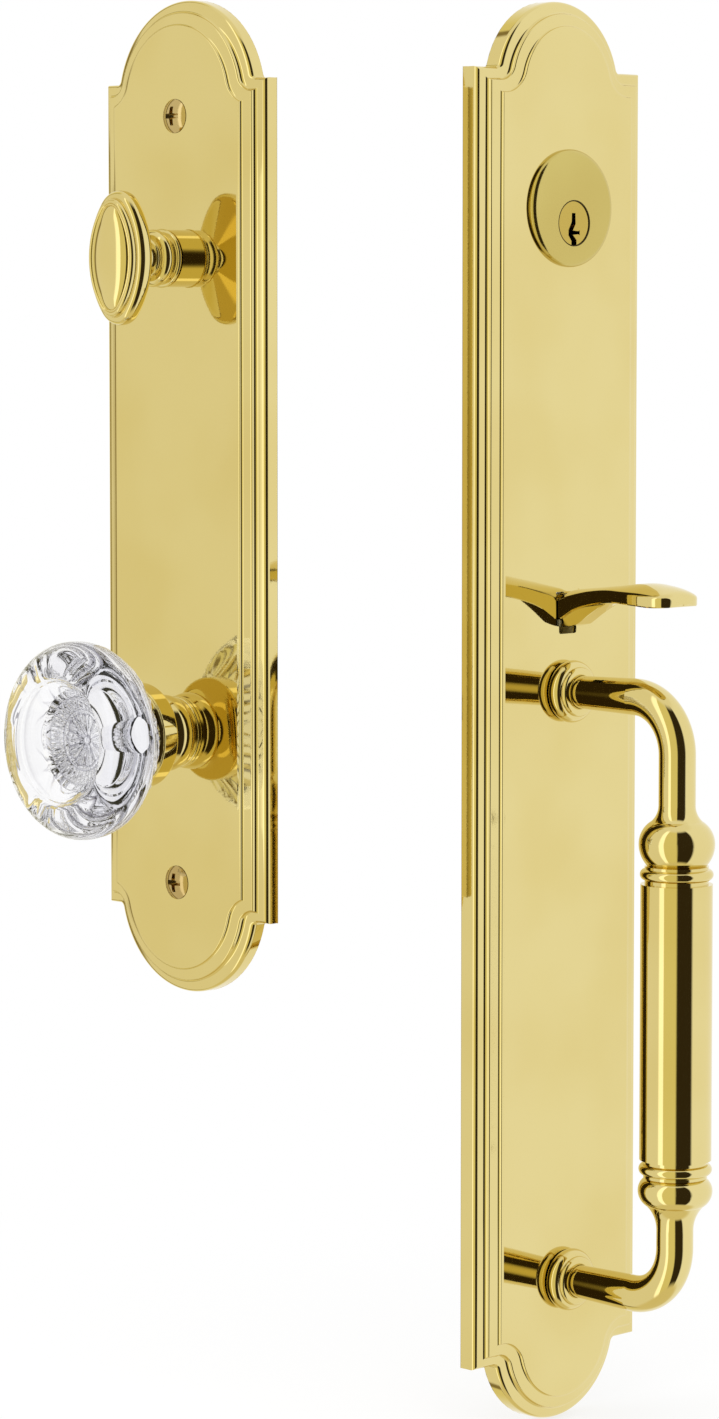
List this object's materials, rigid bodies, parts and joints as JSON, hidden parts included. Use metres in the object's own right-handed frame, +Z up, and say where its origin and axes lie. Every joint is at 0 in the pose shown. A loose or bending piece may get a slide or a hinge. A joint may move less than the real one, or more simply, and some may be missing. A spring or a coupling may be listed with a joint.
{
  "type": "entry door handleset",
  "caption": "Keyed entry door handleset: tall moulded outside plate with thumb latch and bar grip, and an inside plate with an oval turn and a glass knob.",
  "frame": {"origin": "axis of the lock cylinder where it crosses the back face of the outside plate", "axes": "+Z up along the plates; the outside plate faces -Y and its door lies towards +Y; the inside plate stands apart, facing -X, as in the picture"},
  "size_m": [0.1649, 0.1698, 0.4223],
  "materials": {
    "polished_brass": "mirror polished and lacquered",
    "lock_brass": "machined",
    "steel": "plain",
    "crystal": "clear, cut and polished"
  },
  "bodies": {
    "plates": {"exterior_plate": "polished_brass", "bolt_posts": "lock_brass", "cylinder_housing": "polished_brass", "cylinder_nut": "lock_brass", "spring_cover": "lock_brass", "driver_pins": "lock_brass", "pin_springs": "steel", "thumb_pivot_pin": "steel", "latch_bracket": "steel", "bracket_screws": "steel", "thumb_return_spring": "steel", "grip_upper_arm": "polished_brass", "grip_lower_arm": "polished_brass", "grip_upper_bead": "polished_brass", "grip_lower_bead": "polished_brass", "grip_barrel": "polished_brass", "grip_tie_rod": "steel", "upper_post_collar": "polished_brass", "lower_post_collar": "polished_brass", "grip_post_screws": "steel", "interior_plate": "polished_brass", "upper_plate_screw": "polished_brass", "lower_plate_screw": "polished_brass", "turn_bushing": "polished_brass", "turn_nut": "steel", "knob_bushing": "polished_brass", "cassette_case": "steel", "cassette_screws": "steel", "knob_return_spring": "steel"},
    "plug": {"cylinder_plug": "lock_brass", "plug_clip": "steel", "lock_tailpiece": "steel", "key_pins": "lock_brass"},
    "thumb": {"thumb_latch": "polished_brass"},
    "lifter": {"latch_lifter": "steel"},
    "cam": {"latch_cam": "steel", "cam_clip": "steel", "latch_spindle": "steel"},
    "turn": {"turn_knob": "polished_brass", "turn_clip": "steel", "turn_washer": "steel"},
    "knob": {"knob_shank": "polished_brass", "crystal_knob": "crystal", "glass_bolt": "steel", "knob_spindle": "steel", "knob_set_screw": "steel", "cassette_hub": "steel"}
  },
  "joints": [
    {"name": "plug_turn", "type": "hinge", "parent": "plates", "child": "plug", "pos_m": [0, 0, -0.0044], "axis": [0, 1, 0], "range_deg": [-90, 90]},
    {"name": "thumb_press", "type": "hinge", "parent": "plates", "child": "thumb", "pos_m": [0, -0.0046, -0.117], "axis": [1, 0, 0], "range_deg": [0, 18], "stiffness_Nm_per_rad": 0.25, "springref_deg": -20.05},
    {"name": "lifter_slide", "type": "slide", "parent": "plates", "child": "lifter", "axis": [0, 0, 1], "range_m": [0, 0.00525], "deforming": ["thumb_return_spring"]},
    {"name": "cam_turn", "type": "hinge", "parent": "plates", "child": "cam", "pos_m": [0, 0, -0.1397], "axis": [0, -1, 0], "range_deg": [0, 32.5]},
    {"name": "turn_turn", "type": "hinge", "parent": "plates", "child": "turn", "pos_m": [-0.075, 0.0705, -0.0147], "axis": [1, 0, 0], "range_deg": [0, 90]},
    {"name": "knob_turn", "type": "hinge", "parent": "plates", "child": "knob", "pos_m": [-0.075, 0.0705, -0.1544], "axis": [1, 0, 0], "range_deg": [-60, 60], "stiffness_Nm_per_rad": 0.4}
  ],
  "couplings": [
    {"joint": "thumb_press", "follows": "lifter_slide", "rad_per_m": 59.8},
    {"joint": "cam_turn", "follows": "lifter_slide", "rad_per_m": 105.2}
  ]
}
